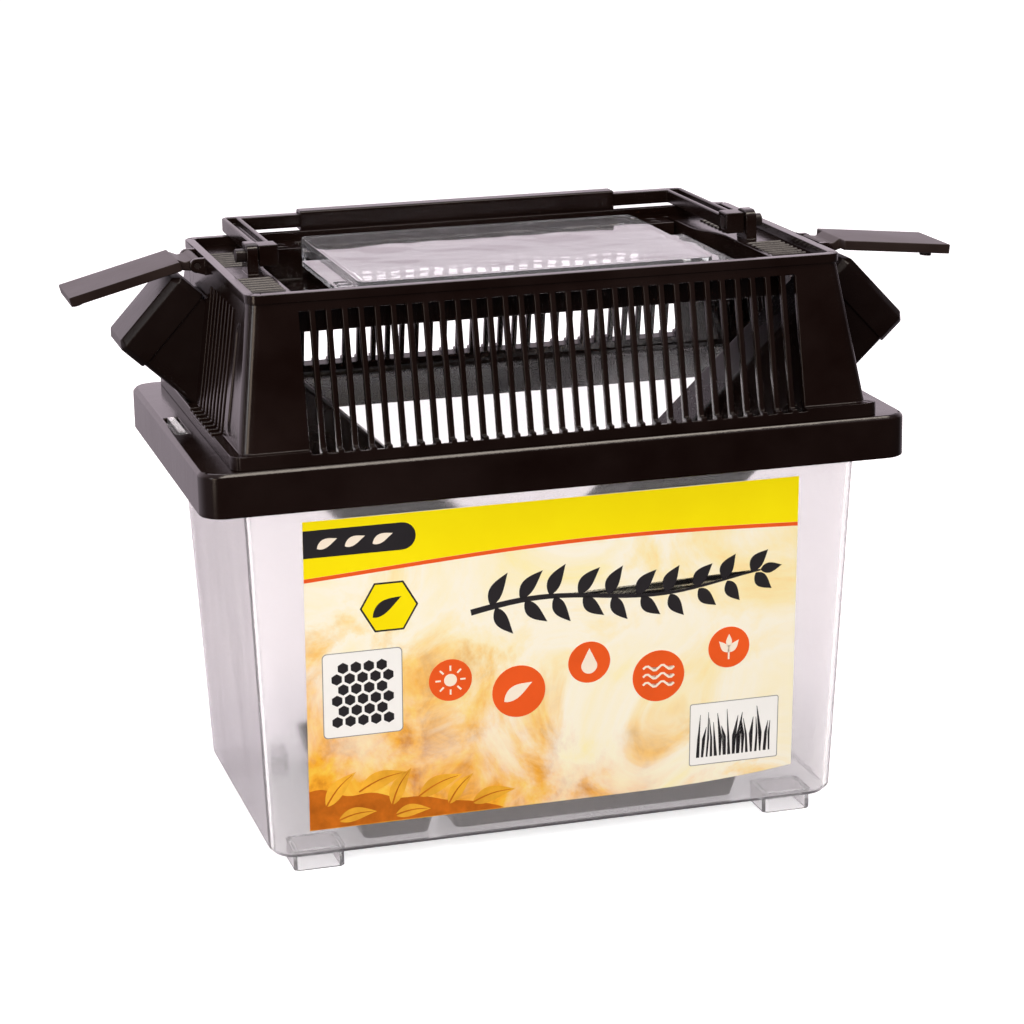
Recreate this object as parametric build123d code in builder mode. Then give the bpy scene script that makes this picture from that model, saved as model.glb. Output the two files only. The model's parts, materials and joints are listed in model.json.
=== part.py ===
from build123d import *
import os
from math import atan2, cos, degrees, radians, sin, tan

os.makedirs("parts", exist_ok=True)

# Keeper box for live crickets, in millimetres.
# +Z is up, +X runs along the long side, -Y is the front with the label.
# The origin is at the middle of the footprint, level with the underside of the feet.

# ---------------------------------------------------------------- shared clearances
rest_gap = 0.3  # between pieces that lie on one another
slide_gap = 0.5  # round a feeding tube in its port
turn_gap = 0.05  # radial running fit round a hinge pin
cut_over = 1.0  # cuts run this far past what they cut

# ---------------------------------------------------------------- lid skirt
skirt_length = 235.0
skirt_width = 138.8
skirt_bottom = 125.7
skirt_height = 14.3
skirt_corner = 8.0
skirt_edge = 1.2  # soft edge round the top
lid_wall = 2.0
slot_edge = 2.2  # from the skirt's end to the snap slot
slot_depth = 4.7
slot_width = 24.0
slot_outer = skirt_length / 2 - slot_edge
slot_inner = slot_outer - slot_depth
ledge_z = skirt_bottom + skirt_height

# ---------------------------------------------------------------- tub
foot_height = 6.0
foot_length = 17.0
foot_depth = 15.0
foot_wall = 1.6
foot_corner = 1.4
foot_inset_x = 16.0  # foot centre to the floor's end
foot_inset_y = 12.0
tub_inset_x = 20.0  # floor's end to the lid's end
tub_inset_y = 12.4
tub_draft_x = 2.345  # lean of the short walls, in degrees
tub_draft_y = 3.49  # lean of the long walls, in degrees
tub_corner = 9.0
tub_edge = 2.2
tub_wall = 1.8
tub_floor = 1.8
flange_gap_x = 6.5  # flange to the inside of the lid's skirt
flange_gap_y = 0.5
flange_thickness = 2.0
snap_gap = 1.0  # tab to the slot's end face
snap_width = 22.0  # of the tab that stands up in the lid's slot
snap_thickness = 2.6
snap_rise = 2.8
snap_base_width = 30.0
tub_floor_length = skirt_length - 2 * tub_inset_x  # outside, at the underside of the floor
tub_floor_width = skirt_width - 2 * tub_inset_y
foot_centre_x = tub_floor_length / 2 - foot_inset_x
foot_centre_y = tub_floor_width / 2 - foot_inset_y
flange_length = skirt_length - 2 * lid_wall - 2 * flange_gap_x
flange_width = skirt_width - 2 * lid_wall - 2 * flange_gap_y
snap_reach = slot_outer - snap_gap  # outside face of the tab, from the middle
tub_rim_z = ledge_z - lid_wall - rest_gap
tub_floor_top = foot_height + tub_floor

# ---------------------------------------------------------------- hood
hood_setback_x = 12.6  # hood's foot to the lid's end
hood_setback_y = 3.2
hood_inset_x = 7.4  # how far each short wall leans in
hood_inset_y = 11.7
hood_height = 52.4
hood_corner = 4.5
hood_wall = 2.2
curb_proud_x = 2.5  # curb round the hood's foot
curb_proud_y = 1.5
curb_height = 4.5
band_height = 3.0  # rim band round the top
band_proud_x = 1.0
band_proud_y = 1.3
grille_margin = 16.96  # first and last slot centres to the top's ends
grille_slots = 32
grille_slot_width = 3.4
grille_bottom = 3.1  # heights above the ledge, along the wall
front_grille_length = 44.5
back_grille_length = 40.0
side_slot_pitch = 5.38
side_slots = 8
side_slot_gap = 8.55  # port's edge to the first slot centre
side_slot_length = 42.0
panel_recess = 0.6  # shallow panel in the smooth end of each side wall
panel_width = 8.0
panel_length = 36.0
panel_margin = 9.0  # panel centre to the top's end
panel_rise = 2.0  # above the curb
hood_base_length = skirt_length - 2 * hood_setback_x
hood_base_width = skirt_width - 2 * hood_setback_y
hood_top_length = hood_base_length - 2 * hood_inset_x
hood_top_width = hood_base_width - 2 * hood_inset_y
hood_top_z = ledge_z + hood_height
curb_length = hood_base_length + 2 * curb_proud_x
curb_width = hood_base_width + 2 * curb_proud_y
band_length = hood_top_length + 2 * band_proud_x
band_width = hood_top_width + 2 * band_proud_y
grille_pitch = (hood_top_length - 2 * grille_margin) / (grille_slots - 1)
panel_centre = hood_top_width / 2 - panel_margin
lean_x = degrees(atan2(hood_inset_x, hood_height))
lean_y = degrees(atan2(hood_inset_y, hood_height))

# ---------------------------------------------------------------- deck and recess
deck_thickness = 2.0
well_end = 17.0  # recess end to the top's end
well_waist_step = 5.9  # narrower behind its S-shaped step
well_front_margin = 14.3
well_back_margin = 4.9
well_step_depth = 23.0
well_step_gap = 22.6  # step to the back of the recess
well_depth = 13.6  # top of the lid to the recess floor
well_wall = 1.8
seat_wall = 1.6
hatch_gap = 1.6  # way in to the door's rim, at the sides
hatch_front_gap = 3.4
hatch_back_gap = 10.6
rib_count = 7
rib_pitch = 1.9
rib_height = 0.5
rib_width = 0.7
rib_length = 12.0
rib_place_y = 24.0
deck_z = hood_top_z - band_height
deck_bottom = deck_z - deck_thickness
well_half_length = hood_top_length / 2 - well_end
well_waist = well_half_length - well_waist_step
well_front = well_front_margin - hood_top_width / 2
well_back = hood_top_width / 2 - well_back_margin
well_step_back = well_back - well_step_gap
well_step_front = well_step_back - well_step_depth
well_step_middle = ((well_half_length + well_waist) / 2, (well_step_front + well_step_back) / 2)
well_floor_top = hood_top_z - well_depth
well_bottom = well_floor_top - well_wall
rib_place_x = (hood_top_length / 2 - hood_wall + well_half_length) / 2

# ---------------------------------------------------------------- handle
handle_rise = 2.7  # pivot above the lid's top
handle_gap = 2.8  # arm to the recess wall behind the step
handle_arm = 6.5
handle_over = 8.5  # bar behind the lid's top edge
handle_bar_depth = 5.0
handle_thickness = 4.5
handle_corner = 3.0
handle_channel_width = 3.2
handle_channel_depth = 2.2
handle_channel_end = 1.0
handle_boss_length = 8.0
handle_boss_height = 7.0
grip_inset = 20.4
grip_section = 7.0
grip_corner = 1.2
post_gap = 0.4
post_thickness = 3.7
post_depth = 10.0
post_rise = 4.2  # above the pivot
post_round = 3.4
handle_pin_radius = 2.2
handle_pin_proud = 3.0
handle_pivot_z = hood_top_z + handle_rise
handle_arm_inner = well_waist + handle_gap
handle_arm_outer = handle_arm_inner + handle_arm
handle_reach = hood_top_width / 2 + handle_over  # pivot to the far edge of the bar
grip_half_length = handle_arm_inner - grip_inset
post_inner = handle_arm_outer + post_gap
handle_pin_end = post_inner + post_thickness + handle_pin_proud

# ---------------------------------------------------------------- access door
door_side_gap = 15.1  # door to the recess wall behind the step
door_front_lap = 1.8  # over the deck's front edge
door_back_gap = 2.6
door_sink = 0.8  # below the lid's top
door_thickness = 2.0
door_wall = 1.6
door_depth = 5.0
door_rim_setback = 2.6
door_corner = 3.0
door_wing = 7.3
door_wing_setback = 2.3
door_wing_length = 49.7
door_wing_step = 1.6  # below the door's top
door_wing_thickness = 1.8
wing_hole_length = 4.6
wing_hole_width = 2.4
wing_hole_margin = 3.5
wing_hole_pitch = 5.0
door_axis_inset = 4.0
door_ear_radius = 3.0
door_peg_radius = 1.6
door_peg_short = 4.0  # peg's end inside the lug
lug_gap = 1.5
lug_length = 12.0
lug_lap = 9.5  # lug beside the door's back end
lug_pocket_depth = 0.8
lug_pocket_radius = 2.0
lug_pocket_margin = 3.4
door_half_length = well_waist - door_side_gap
door_front = well_front - door_front_lap
door_back = well_back - door_back_gap
door_top = hood_top_z - door_sink
door_skirt_front = door_front + door_rim_setback
door_skirt_bottom = door_top - door_depth
door_wing_outer = door_half_length + door_wing
door_wing_front = door_front + door_wing_setback
door_wing_back = door_wing_front + door_wing_length
door_wing_top = door_top - door_wing_step
door_axis_y = door_back - door_axis_inset
door_axis_z = door_skirt_bottom
lug_inner = door_half_length + lug_gap
lug_outer = lug_inner + lug_length
lug_front = door_back - lug_lap
door_peg_end = lug_outer - door_peg_short
hatch_half_length = door_half_length - hatch_gap  # way in through the recess floor
hatch_front = door_front + hatch_front_gap
hatch_back = door_back - hatch_back_gap

# ---------------------------------------------------------------- feeding tubes
tube_slope = 43.0  # degrees from the horizontal
tube_width = 25.5
tube_depth = 29.3
tube_wall = 1.8
tube_corner = 2.0
tube_side_margin = 29.5  # centre line to the lid's top edge, front or back
tube_inset = 44.9  # a point on the centre line: inside the hood's foot and below the ledge
tube_drop = 18.1
tube_end_height = 23.4  # middle of the low end above the tub's floor
tube_high_end = 69.0  # distance along the slope from the anchor point
cap_overlap = 0.75  # cap proud of the tube at the sides
cap_overlap_depth = 0.85
cap_length = 11.5
cap_corner = 2.0
cap_bevel = 2.2
cap_hollow = 8.0
tube_offset_y = hood_top_width / 2 - tube_side_margin
tube_anchor_x = hood_base_length / 2 - tube_inset
tube_anchor_z = ledge_z - tube_drop
tube_low_end = -(tube_anchor_z - tub_floor_top - tube_end_height) / sin(radians(tube_slope))
cap_width = tube_width + 2 * cap_overlap
cap_depth = tube_depth + 2 * cap_overlap_depth
side_slot_first = tube_offset_y - tube_width / 2 - slide_gap - side_slot_gap

# ---------------------------------------------------------------- port flaps
flap_droop_left = 14.3
flap_droop_right = 5.8
flap_start = 5.5  # distances outward from the hinge
flap_end = 43.6
flap_width = 25.5
flap_top = 3.6  # top face above the hinge line
flap_plate = 1.7
flap_depth = 3.2
flap_rim = 1.4
strap_width = 16.0
strap_root = 3.2
strap_root_height = 1.9
strap_crown = 2.0
knuckle_radius = 2.3
flap_pin_radius = 1.0
flap_drop = 2.5  # hinge below the lid's top
flap_lug_radius = 2.4
flap_lug_width = 2.2
flap_lug_root = 1.5
nub_radius = 2.0
nub_height = 2.6
nub_inset = 3.0
flap_axis_z = hood_top_z - flap_drop
flap_axis_x = band_length / 2 + rest_gap + knuckle_radius

# ---------------------------------------------------------------- dishes
dish_margin = 6.5  # dish ends to the floor's long sides
dish_width = 26.0
dish_height = 8.0
dish_wall = 1.3
dish_floor = 1.3
dish_flare = 2.0
dish_corner = 3.0
food_dish_inset = 42.5  # centre to the floor's end
food_dish_y = -2.5
water_dish_inset = 17.0
dish_gap = 5.0
dish_length = tub_floor_width - 2 * dish_margin
food_dish_x = food_dish_inset - tub_floor_length / 2
water_dish_x = food_dish_x + dish_width / 2 + dish_gap + dish_length / 2
water_dish_y = water_dish_inset - tub_floor_width / 2

# ---------------------------------------------------------------- label
label_margin_left = 12.0  # to the floor's end
label_margin_right = 16.8
label_low = 9.7  # along the wall, from the tub's underside
label_top_gap = 4.5  # to the lid's skirt, along the wall
label_lift = 3.4  # rise of the lower right corner
label_lift_run = 60.7
label_thickness = 0.25
label_left = label_margin_left - tub_floor_length / 2
label_right = tub_floor_length / 2 - label_margin_right
label_high = (skirt_bottom - foot_height) / cos(radians(tub_draft_y)) - label_top_gap
label_lift_start = label_right - label_lift_run


def tub_length_at(z):
    return tub_floor_length + 2 * tan(radians(tub_draft_x)) * (z - foot_height)


def tub_width_at(z):
    return tub_floor_width + 2 * tan(radians(tub_draft_y)) * (z - foot_height)


def leaning_block(low, high, corner):
    """Block with flat leaning walls and rounded corners; low and high are (length, width, height)."""
    with BuildPart() as block:
        for plane, index in ((Plane.XZ, 0), (Plane.YZ, 1)):
            with BuildSketch(plane):
                with BuildLine():
                    Polyline(
                        (-low[index] / 2, low[2]),
                        (low[index] / 2, low[2]),
                        (high[index] / 2, high[2]),
                        (-high[index] / 2, high[2]),
                        close=True,
                    )
                make_face()
            extrude(
                amount=max(low[0], low[1], high[0], high[1]),
                both=True,
                mode=Mode.INTERSECT if index else Mode.ADD,
            )
        fillet([edge for edge in block.edges() if abs(edge.tangent_at(0.5).Z) > 0.5], radius=corner)
    return block.part


def long_wall_plane(side):
    """Outside plane of the hood's front (side -1) or back (side 1) wall, local y up the wall."""
    return Plane(
        origin=(0, side * hood_base_width / 2, ledge_z),
        x_dir=(-side, 0, 0),
        z_dir=(0, side * cos(radians(lean_y)), sin(radians(lean_y))),
    )


def short_wall_plane(side):
    """Outside plane of the hood's left (side -1) or right (side 1) wall, local y up the wall."""
    return Plane(
        origin=(side * hood_base_length / 2, 0, ledge_z),
        x_dir=(0, side, 0),
        z_dir=(side * cos(radians(lean_x)), 0, sin(radians(lean_x))),
    )


def tube_plane(side, distance):
    """Plane square to a feeding tube, at a distance up its slope; side -1 is the left tube."""
    return Plane(
        origin=(
            side * (tube_anchor_x + distance * cos(radians(tube_slope))),
            -side * tube_offset_y,
            tube_anchor_z + distance * sin(radians(tube_slope)),
        ),
        x_dir=(0, side, 0),
        z_dir=(side * cos(radians(tube_slope)), 0, sin(radians(tube_slope))),
    )


def flap_plane(side, droop):
    """Plane across a port flap's hinge: local x outward along the flap, local y square to it."""
    return Plane(
        origin=(side * flap_axis_x, -side * tube_offset_y, flap_axis_z),
        x_dir=(side * cos(radians(droop)), 0, -sin(radians(droop))),
        z_dir=(0, -side, 0),
    )


# ================================================================ tub
with BuildPart() as tub:
    add(
        leaning_block(
            (tub_floor_length, tub_floor_width, foot_height),
            (tub_length_at(tub_rim_z), tub_width_at(tub_rim_z), tub_rim_z),
            tub_corner,
        )
    )
    chamfer(tub.faces().sort_by(Axis.Z)[0].edges(), length=tub_edge)
    # rim flange with a wider base under each snap tab
    with BuildSketch(Plane.XY.offset(tub_rim_z - flange_thickness)):
        RectangleRounded(flange_length, flange_width, tub_corner)
        Rectangle(2 * snap_reach, snap_base_width)
    extrude(amount=flange_thickness)
    # hollow
    add(
        leaning_block(
            (
                tub_length_at(tub_floor_top) - 2 * tub_wall,
                tub_width_at(tub_floor_top) - 2 * tub_wall,
                tub_floor_top,
            ),
            (
                tub_length_at(tub_rim_z) - 2 * tub_wall,
                tub_width_at(tub_rim_z) - 2 * tub_wall,
                tub_rim_z,
            ),
            tub_corner - tub_wall,
        ),
        mode=Mode.SUBTRACT,
    )
    # snap tabs that stand up in the lid's slots
    with BuildSketch(Plane.XY.offset(tub_rim_z)):
        with Locations((snap_reach - snap_thickness / 2, 0), (snap_thickness / 2 - snap_reach, 0)):
            Rectangle(snap_thickness, snap_width)
    extrude(amount=snap_rise)
    # hollow feet, open below
    with BuildSketch(Plane.XY) as feet:
        with GridLocations(2 * foot_centre_x, 2 * foot_centre_y, 2, 2):
            Rectangle(foot_length, foot_depth)
        chamfer(feet.vertices(), length=foot_corner)
        with GridLocations(2 * foot_centre_x, 2 * foot_centre_y, 2, 2):
            Rectangle(foot_length - 2 * foot_wall, foot_depth - 2 * foot_wall, mode=Mode.SUBTRACT)
    extrude(amount=foot_height)
tub.part.label = "tub"
export_step(tub.part, "parts/tub.step")

# ================================================================ label sheet
front_wall = Plane(
    origin=(0, -tub_floor_width / 2, foot_height),
    x_dir=(1, 0, 0),
    z_dir=(0, -cos(radians(tub_draft_y)), -sin(radians(tub_draft_y))),
)
with BuildPart() as label_sheet:
    with BuildSketch(front_wall):
        with BuildLine():
            Line((label_left, label_low), (label_lift_start, label_low))
            Spline(
                (label_lift_start, label_low),
                (label_right, label_low + label_lift),
                tangents=((1, 0), (1, 0.14)),
            )
            Polyline(
                (label_right, label_low + label_lift),
                (label_right, label_high),
                (label_left, label_high),
                (label_left, label_low),
            )
        make_face()
    extrude(amount=label_thickness)
label_sheet.part.label = "label_sheet"
export_step(label_sheet.part, "parts/label_sheet.step")

# ================================================================ lid skirt and ledge
with BuildPart() as lid_skirt:
    with BuildSketch(Plane.XY.offset(skirt_bottom)):
        RectangleRounded(skirt_length, skirt_width, skirt_corner)
    extrude(amount=skirt_height)
    chamfer(lid_skirt.faces().sort_by(Axis.Z)[-1].edges(), length=skirt_edge)
    # inside of the skirt, under the ledge
    with BuildSketch(Plane.XY.offset(skirt_bottom)):
        RectangleRounded(
            skirt_length - 2 * lid_wall, skirt_width - 2 * lid_wall, skirt_corner - lid_wall
        )
    extrude(amount=skirt_height - lid_wall, mode=Mode.SUBTRACT)
    # way up into the hood, and the two snap slots
    with BuildSketch(Plane.XY.offset(skirt_bottom)):
        RectangleRounded(
            hood_base_length - 2 * hood_wall, hood_base_width - 2 * hood_wall, hood_corner - hood_wall
        )
        with Locations(((slot_inner + slot_outer) / 2, 0), (-(slot_inner + slot_outer) / 2, 0)):
            Rectangle(slot_outer - slot_inner, slot_width)
    extrude(amount=skirt_height + cut_over, mode=Mode.SUBTRACT)
lid_skirt.part.label = "lid_skirt"
export_step(lid_skirt.part, "parts/lid_skirt.step")

# ================================================================ hood: the whole shell first
hood_space = leaning_block(
    (hood_base_length - 2 * hood_wall, hood_base_width - 2 * hood_wall, ledge_z),
    (hood_top_length - 2 * hood_wall, hood_top_width - 2 * hood_wall, hood_top_z),
    hood_corner - hood_wall,
)

with BuildPart() as hood:
    add(
        leaning_block(
            (hood_base_length, hood_base_width, ledge_z),
            (hood_top_length, hood_top_width, hood_top_z),
            hood_corner,
        )
    )
    # curb round the base and band round the top
    with BuildSketch(Plane.XY.offset(ledge_z)):
        RectangleRounded(curb_length, curb_width, hood_corner)
    extrude(amount=curb_height)
    with BuildSketch(Plane.XY.offset(deck_z)):
        RectangleRounded(band_length, band_width, hood_corner)
    extrude(amount=band_height)
    # smooth end panels, sunk a little into the short walls
    for side in (-1, 1):
        with BuildSketch(short_wall_plane(side)):
            with Locations((panel_centre, curb_height + panel_rise + panel_length / 2)):
                RectangleRounded(panel_width, panel_length, panel_width / 2 - 0.1)
        extrude(amount=-panel_recess, mode=Mode.SUBTRACT)
    # long grilles
    for side, slot_length in ((-1, front_grille_length), (1, back_grille_length)):
        with BuildSketch(long_wall_plane(side)):
            with Locations((0, grille_bottom + slot_length / 2)):
                with GridLocations(grille_pitch, 1, grille_slots, 1):
                    Rectangle(grille_slot_width, slot_length)
        extrude(amount=3 * hood_wall, both=True, mode=Mode.SUBTRACT)
    # short grilles
    for side in (-1, 1):
        with BuildSketch(short_wall_plane(side)):
            for index in range(side_slots):
                with Locations(
                    (
                        -side_slot_first + index * side_slot_pitch,
                        grille_bottom + side_slot_length / 2,
                    )
                ):
                    Rectangle(grille_slot_width, side_slot_length)
        extrude(amount=3 * hood_wall, both=True, mode=Mode.SUBTRACT)
    # ports for the feeding tubes
    for side in (-1, 1):
        with BuildSketch(tube_plane(side, 0)):
            RectangleRounded(
                tube_width + 2 * slide_gap, tube_depth + 2 * slide_gap, tube_corner + slide_gap
            )
        extrude(amount=tube_high_end + cap_length, mode=Mode.SUBTRACT)
    # lugs for the port flaps
    for side in (-1, 1):
        lug_middle = strap_width / 2 + rest_gap + flap_lug_width / 2
        for lug_y in (-side * tube_offset_y - lug_middle, -side * tube_offset_y + lug_middle):
            with BuildSketch(Plane.XZ.offset(-lug_y - flap_lug_width / 2)):
                with BuildLine():
                    Polyline(
                        (side * flap_axis_x, flap_axis_z - flap_lug_radius),
                        (side * (hood_top_length - hood_wall) / 2, flap_axis_z - flap_lug_radius - flap_lug_root),
                        (side * (hood_top_length - hood_wall) / 2, flap_axis_z + flap_lug_radius),
                        (side * flap_axis_x, flap_axis_z + flap_lug_radius),
                    )
                    Line(
                        (side * flap_axis_x, flap_axis_z + flap_lug_radius),
                        (side * flap_axis_x, flap_axis_z - flap_lug_radius),
                    )
                make_face()
                with Locations((side * flap_axis_x, flap_axis_z)):
                    Circle(flap_lug_radius)
                    Circle(flap_pin_radius, mode=Mode.SUBTRACT)
            extrude(amount=flap_lug_width)
    add(hood_space, mode=Mode.SUBTRACT)

# the shell is cut along the hood's four leaning corners
mitre = hood_inset_x / hood_inset_y
mitre_far = skirt_width / 2 + hood_inset_y
mitre_near = hood_base_width / 6
corner_far = hood_base_length / 2 + mitre * (mitre_far - hood_base_width / 2)
corner_near = hood_base_length / 2 + mitre * (mitre_near - hood_base_width / 2)
mitre_end = corner_far + hood_setback_x

with BuildPart() as hood_front:
    add(hood.part)
    with BuildSketch(Plane.XY.offset(ledge_z - cut_over)):
        with BuildLine():
            Polyline(
                (-corner_far, -mitre_far),
                (corner_far, -mitre_far),
                (corner_near, -mitre_near),
                (-corner_near, -mitre_near),
                close=True,
            )
        make_face()
    extrude(amount=hood_height + 2 * cut_over, mode=Mode.INTERSECT)
hood_front.part.label = "hood_front"
export_step(hood_front.part, "parts/hood_front.step")

with BuildPart() as hood_back:
    add(hood.part)
    with BuildSketch(Plane.XY.offset(ledge_z - cut_over)):
        with BuildLine():
            Polyline(
                (-corner_far, mitre_far),
                (corner_far, mitre_far),
                (corner_near, mitre_near),
                (-corner_near, mitre_near),
                close=True,
            )
        make_face()
    extrude(amount=hood_height + 2 * cut_over, mode=Mode.INTERSECT)
hood_back.part.label = "hood_back"
export_step(hood_back.part, "parts/hood_back.step")

with BuildPart() as hood_left:
    add(hood.part)
    with BuildSketch(Plane.XY.offset(ledge_z - cut_over)):
        with BuildLine():
            Polyline(
                (-corner_far, -mitre_far),
                (-corner_near, -mitre_near),
                (-corner_near, mitre_near),
                (-corner_far, mitre_far),
                (-mitre_end, mitre_far),
                (-mitre_end, -mitre_far),
                close=True,
            )
        make_face()
    extrude(amount=hood_height + 2 * cut_over, mode=Mode.INTERSECT)
hood_left.part.label = "hood_left"
export_step(hood_left.part, "parts/hood_left.step")

with BuildPart() as hood_right:
    add(hood.part)
    with BuildSketch(Plane.XY.offset(ledge_z - cut_over)):
        with BuildLine():
            Polyline(
                (corner_far, -mitre_far),
                (corner_near, -mitre_near),
                (corner_near, mitre_near),
                (corner_far, mitre_far),
                (mitre_end, mitre_far),
                (mitre_end, -mitre_far),
                close=True,
            )
        make_face()
    extrude(amount=hood_height + 2 * cut_over, mode=Mode.INTERSECT)
hood_right.part.label = "hood_right"
export_step(hood_right.part, "parts/hood_right.step")

# ================================================================ deck with its recess
with BuildSketch() as well_outline:
    with BuildLine():
        Line((0, well_front), (well_half_length, well_front))
        Line((well_half_length, well_front), (well_half_length, well_step_front))
        TangentArc((well_half_length, well_step_front), well_step_middle, tangent=(0, 1))
        TangentArc((well_waist, well_step_back), well_step_middle, tangent=(0, -1))
        Line((well_waist, well_step_back), (well_waist, well_back))
        Line((well_waist, well_back), (0, well_back))
        mirror(about=Plane.YZ)
    make_face()

with BuildPart() as lid_deck:
    with BuildSketch(Plane.XY.offset(deck_bottom)):
        Rectangle(hood_base_length, hood_base_width)
    extrude(amount=deck_thickness)
    add(hood_space, mode=Mode.INTERSECT)
    # fine ribs across the deck's two ends
    with BuildSketch(Plane.XY.offset(deck_z)):
        with GridLocations(2 * rib_place_x, 2 * rib_place_y, 2, 2):
            with GridLocations(1, 2 * rib_pitch, 1, rib_count):
                Rectangle(rib_length, rib_width)
    extrude(amount=rib_height)
    # recess walls and floor
    with BuildSketch(Plane.XY.offset(well_bottom)):
        add(well_outline.sketch)
        offset(amount=well_wall)
    extrude(amount=deck_bottom - well_bottom)
    with BuildSketch(Plane.XY.offset(well_floor_top)):
        add(well_outline.sketch)
    extrude(amount=hood_top_z - well_floor_top, mode=Mode.SUBTRACT)
    # seat curb under the door's rim, then the way in
    with BuildSketch(Plane.XY.offset(well_floor_top)):
        with Locations((0, (well_front + hatch_back + seat_wall) / 2)):
            Rectangle(
                2 * (hatch_half_length + seat_wall),
                hatch_back + seat_wall - well_front,
            )
    extrude(amount=door_skirt_bottom - rest_gap - well_floor_top)
    with BuildSketch(Plane.XY.offset(well_bottom)):
        with Locations((0, (hatch_front + hatch_back) / 2)):
            Rectangle(2 * hatch_half_length, hatch_back - hatch_front)
    extrude(amount=deck_z - well_bottom, mode=Mode.SUBTRACT)
    # lugs for the door's pegs, with two small pockets in each top
    with BuildSketch(Plane.XY.offset(well_floor_top)):
        with Locations(
            ((lug_inner + lug_outer) / 2, (lug_front + well_back) / 2),
            (-(lug_inner + lug_outer) / 2, (lug_front + well_back) / 2),
        ):
            Rectangle(lug_outer - lug_inner, well_back - lug_front)
    extrude(amount=deck_z - well_floor_top)
    with BuildSketch(Plane.XY.offset(deck_z - lug_pocket_depth)):
        with GridLocations(lug_inner + lug_outer, 1, 2, 1):
            with Locations((0, lug_front + lug_pocket_margin), (0, well_back - lug_pocket_margin)):
                RegularPolygon(lug_pocket_radius, 6)
    extrude(amount=lug_pocket_depth, mode=Mode.SUBTRACT)
    with BuildSketch(Plane.YZ.offset(-lug_outer)):
        with Locations((door_axis_y, door_axis_z)):
            Circle(door_peg_radius + turn_gap)
    extrude(amount=2 * lug_outer, mode=Mode.SUBTRACT)
    # posts for the handle
    for side in (-1, 1):
        with BuildSketch(Plane.YZ.offset(side * (post_inner + post_thickness / 2))) as post:
            with Locations((0, (deck_z + handle_pivot_z + post_rise) / 2)):
                Rectangle(post_depth, handle_pivot_z + post_rise - deck_z)
            fillet(post.vertices().group_by(Axis.Y)[-1], radius=post_round)
        extrude(amount=post_thickness / 2, both=True)
    with BuildSketch(Plane.YZ.offset(-post_inner - post_thickness)):
        with Locations((0, handle_pivot_z)):
            Circle(handle_pin_radius + turn_gap)
    extrude(amount=2 * (post_inner + post_thickness), mode=Mode.SUBTRACT)
lid_deck.part.label = "lid_deck"
export_step(lid_deck.part, "parts/lid_deck.step")

# ================================================================ handle
with BuildPart() as carry_handle:
    with BuildSketch(Plane.XY.offset(handle_pivot_z - handle_thickness / 2)):
        with Locations((0, handle_reach / 2)):
            Rectangle(2 * handle_arm_outer, handle_reach)
        with Locations((0, (handle_reach - handle_bar_depth) / 2)):
            Rectangle(2 * handle_arm_inner, handle_reach - handle_bar_depth, mode=Mode.SUBTRACT)
    extrude(amount=handle_thickness)
    fillet(
        carry_handle.edges().filter_by(Axis.Z).group_by(Axis.Y)[-1],
        radius=handle_corner,
    )
    # channel along the top of each arm
    with BuildSketch(Plane.XY.offset(handle_pivot_z + handle_thickness / 2 - handle_channel_depth)):
        with Locations(
            ((handle_arm_inner + handle_arm_outer) / 2, handle_reach / 2),
            (-(handle_arm_inner + handle_arm_outer) / 2, handle_reach / 2),
        ):
            Rectangle(handle_channel_width, handle_reach - handle_bar_depth - handle_channel_end)
    extrude(amount=handle_channel_depth, mode=Mode.SUBTRACT)
    # taller box round each pivot
    with BuildSketch(Plane.XY.offset(handle_pivot_z - handle_boss_height / 2)):
        with Locations(
            ((handle_arm_inner + handle_arm_outer) / 2, 0),
            (-(handle_arm_inner + handle_arm_outer) / 2, 0),
        ):
            Rectangle(handle_arm_outer - handle_arm_inner, handle_boss_length)
    extrude(amount=handle_boss_height)
    with BuildSketch(Plane.YZ.offset(-handle_arm_outer)):
        with Locations((0, handle_pivot_z)):
            Circle(handle_pin_radius)
    extrude(amount=2 * handle_arm_outer, mode=Mode.SUBTRACT)
carry_handle.part.label = "carry_handle"
export_step(carry_handle.part, "parts/carry_handle.step")

bar_centre_y = handle_reach - handle_bar_depth / 2
with BuildPart() as handle_grip:
    with BuildSketch(Plane.YZ.offset(-grip_half_length)):
        with Locations((bar_centre_y, handle_pivot_z)):
            RectangleRounded(grip_section, grip_section, grip_corner)
            Rectangle(handle_bar_depth, handle_thickness, mode=Mode.SUBTRACT)
    extrude(amount=2 * grip_half_length)
handle_grip.part.label = "handle_grip"
export_step(handle_grip.part, "parts/handle_grip.step")

with BuildPart() as handle_pin_left:
    with BuildSketch(Plane.YZ.offset(-handle_pin_end)):
        with Locations((0, handle_pivot_z)):
            Circle(handle_pin_radius)
    extrude(amount=handle_pin_end - handle_arm_inner)
handle_pin_left.part.label = "handle_pin_left"
export_step(handle_pin_left.part, "parts/handle_pin_left.step")

with BuildPart() as handle_pin_right:
    with BuildSketch(Plane.YZ.offset(handle_arm_inner)):
        with Locations((0, handle_pivot_z)):
            Circle(handle_pin_radius)
    extrude(amount=handle_pin_end - handle_arm_inner)
handle_pin_right.part.label = "handle_pin_right"
export_step(handle_pin_right.part, "parts/handle_pin_right.step")

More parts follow.
